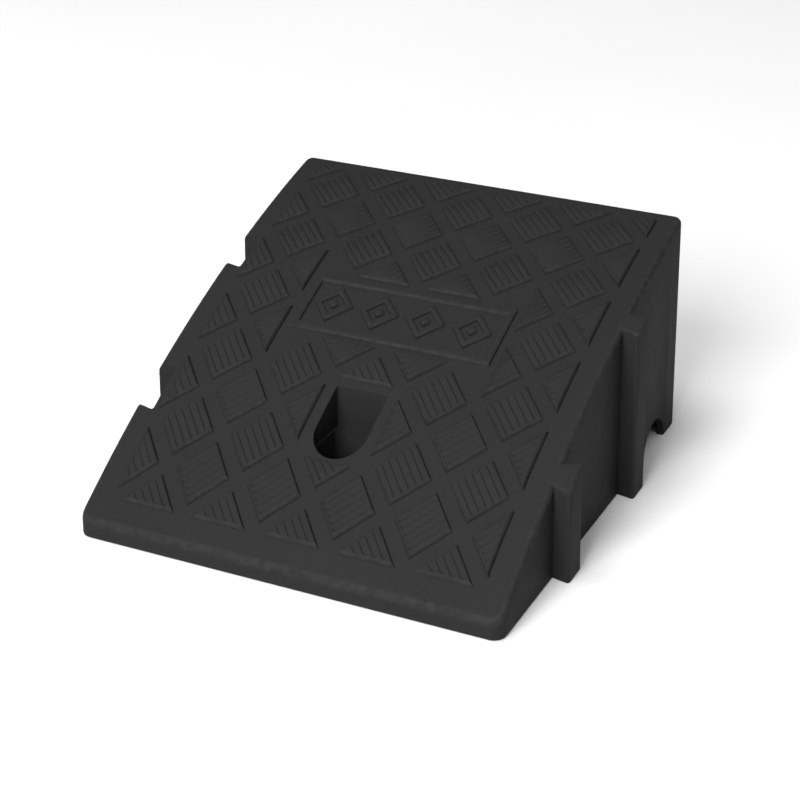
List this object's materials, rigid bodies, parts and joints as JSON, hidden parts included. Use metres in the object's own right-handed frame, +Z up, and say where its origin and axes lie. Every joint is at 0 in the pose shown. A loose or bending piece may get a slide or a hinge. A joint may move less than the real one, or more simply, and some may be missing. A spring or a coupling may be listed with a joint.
{
  "type": "threshold ramp",
  "caption": "Moulded wedge ramp for a kerb or step, with a raised lozenge tread, an anchor well, side keys and keyways, and a ribbed hollow underside.",
  "frame": {"origin": "on the ground, on the axis of the anchor bore", "axes": "+Z up along the anchor bore, +Y uphill from the toe to the kerb face, +X towards the side that carries the keys"},
  "size_m": [0.26, 0.27, 0.1323],
  "materials": {
    "black_plastic": "fine matt moulded texture"
  },
  "bodies": {
    "root": {"anchor_seat": "black_plastic", "anchor_sleeve": "black_plastic", "anchor_well": "black_plastic", "cross_rib_1": "black_plastic", "cross_rib_2": "black_plastic", "cross_rib_3": "black_plastic", "cross_rib_4": "black_plastic", "cross_rib_5": "black_plastic", "deck_plate": "black_plastic", "front_centre_rib": "black_plastic", "front_key": "black_plastic", "front_keyway": "black_plastic", "kerb_wall": "black_plastic", "left_wall": "black_plastic", "lengthwise_rib_1": "black_plastic", "lengthwise_rib_2": "black_plastic", "lengthwise_rib_3": "black_plastic", "lengthwise_rib_4": "black_plastic", "panel_frame": "black_plastic", "panel_motif": "black_plastic", "rear_centre_rib": "black_plastic", "rear_key": "black_plastic", "rear_keyway": "black_plastic", "right_wall": "black_plastic", "toe_bar": "black_plastic", "tread_row_01": "black_plastic", "tread_row_02": "black_plastic", "tread_row_03": "black_plastic", "tread_row_04": "black_plastic", "tread_row_05": "black_plastic", "tread_row_06": "black_plastic", "tread_row_07": "black_plastic", "tread_row_08": "black_plastic", "tread_row_09": "black_plastic", "tread_row_10": "black_plastic", "tread_row_11": "black_plastic", "tread_row_12": "black_plastic"}
  },
  "joints": []
}
